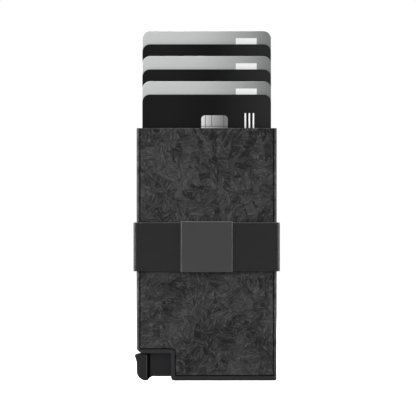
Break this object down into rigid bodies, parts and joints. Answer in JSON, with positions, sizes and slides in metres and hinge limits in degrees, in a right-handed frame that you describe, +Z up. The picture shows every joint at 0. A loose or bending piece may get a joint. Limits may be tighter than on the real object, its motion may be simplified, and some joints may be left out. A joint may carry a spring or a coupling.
{
  "type": "minimalist card wallet",
  "caption": "Slim rigid card wallet with composite face panels, an elastic strap with a metal plate, and a side trigger whose lever fans the cards out of the open top.",
  "frame": {"origin": "centre of the bounding box in plan, at the underside of the case that it stands on", "axes": "+Z up, from the trigger end to the open end the cards come out of; -Y towards the front panel and the strap's plate; -X towards the trigger"},
  "size_m": [0.0612, 0.0124, 0.1467],
  "materials": {
    "rail_composite": "satin dark composite moulded over the rails",
    "panel_composite": "satin forged composite with visible fibre chips",
    "anodised_block": "fine-blasted dark grey anodised",
    "plain_steel": "plain ground",
    "dark_screw": "blackened",
    "spring_steel": "bright spring steel",
    "liner_rubber": "matte",
    "lever_steel": "stamped sheet, plain",
    "trigger_dark": "fine-blasted black anodised",
    "strap_rubber": "smooth matte with bevelled edges",
    "strap_plate": "fine-blasted dark grey",
    "silver_card": "metallic silver laminate",
    "black_card": "satin black laminate",
    "chip_metal": "plated contact pads"
  },
  "bodies": {
    "case": {"case_shell": "rail_composite", "front_panel": "panel_composite", "rear_panel": "panel_composite", "leaf_spring_left": "spring_steel", "leaf_spring_right": "spring_steel", "liner_left": "liner_rubber", "liner_right": "liner_rubber", "end_block": "anodised_block", "tray_cover": "plain_steel", "base_screw_left": "dark_screw", "base_screw_right": "dark_screw", "cover_screw_left": "dark_screw", "cover_screw_right": "dark_screw", "pivot_pin": "plain_steel", "washer_front": "plain_steel", "washer_rear": "plain_steel", "return_spring": "spring_steel", "spring_rod": "plain_steel"},
    "trigger": {"trigger": "trigger_dark"},
    "ejector": {"lever_leaf_1": "lever_steel", "lever_leaf_2": "lever_steel", "lever_leaf_3": "lever_steel", "lever_leaf_4": "lever_steel", "lever_leaf_5": "lever_steel", "lever_leaf_6": "lever_steel", "leaf_rivet_inner": "plain_steel", "leaf_rivet_outer": "plain_steel", "drive_pin": "plain_steel"},
    "card_1": {"card_1": "silver_card", "chip_1": "chip_metal"},
    "card_2": {"card_2": "black_card", "chip_2": "chip_metal"},
    "card_3": {"card_3": "silver_card", "chip_3": "chip_metal"},
    "card_4": {"card_4": "black_card", "chip_4": "chip_metal"},
    "card_5": {"card_5": "silver_card", "chip_5": "chip_metal"},
    "card_6": {"card_6": "black_card", "chip_6": "chip_metal"},
    "strap": {"strap": "strap_rubber", "strap_plate": "strap_plate"}
  },
  "joints": [
    {"name": "trigger_slide", "type": "slide", "parent": "case", "child": "trigger", "axis": [1, 0, 0], "range_m": [0, 0.008], "stiffness_N_per_m": 500, "springref_m": -0.003, "deforming": ["return_spring"]},
    {"name": "ejector_turn", "type": "hinge", "parent": "case", "child": "ejector", "pos_m": [-0.021, 0.00022, 0.015], "axis": [0, -1, 0], "range_deg": [0, 66]},
    {"name": "card_1_slide", "type": "slide", "parent": "case", "child": "card_1", "axis": [0, 0, 1], "range_m": [-0.0411, 0.0467]},
    {"name": "card_2_slide", "type": "slide", "parent": "case", "child": "card_2", "axis": [0, 0, 1], "range_m": [-0.0355, 0.0523]},
    {"name": "card_3_slide", "type": "slide", "parent": "case", "child": "card_3", "axis": [0, 0, 1], "range_m": [-0.0305, 0.0573]},
    {"name": "card_4_slide", "type": "slide", "parent": "case", "child": "card_4", "axis": [0, 0, 1], "range_m": [-0.0249, 0.0629]},
    {"name": "card_5_slide", "type": "slide", "parent": "case", "child": "card_5", "axis": [0, 0, 1], "range_m": [-0.01985, 0.06795]},
    {"name": "card_6_slide", "type": "slide", "parent": "case", "child": "card_6", "axis": [0, 0, 1], "range_m": [-0.0143, 0.0735]},
    {"name": "strap_slide", "type": "slide", "parent": "case", "child": "strap", "axis": [0, 0, 1], "range_m": [-0.03, 0.038]}
  ],
  "couplings": [
    {"joint": "ejector_turn", "follows": "trigger_slide", "rad_per_m": 143.99}
  ]
}
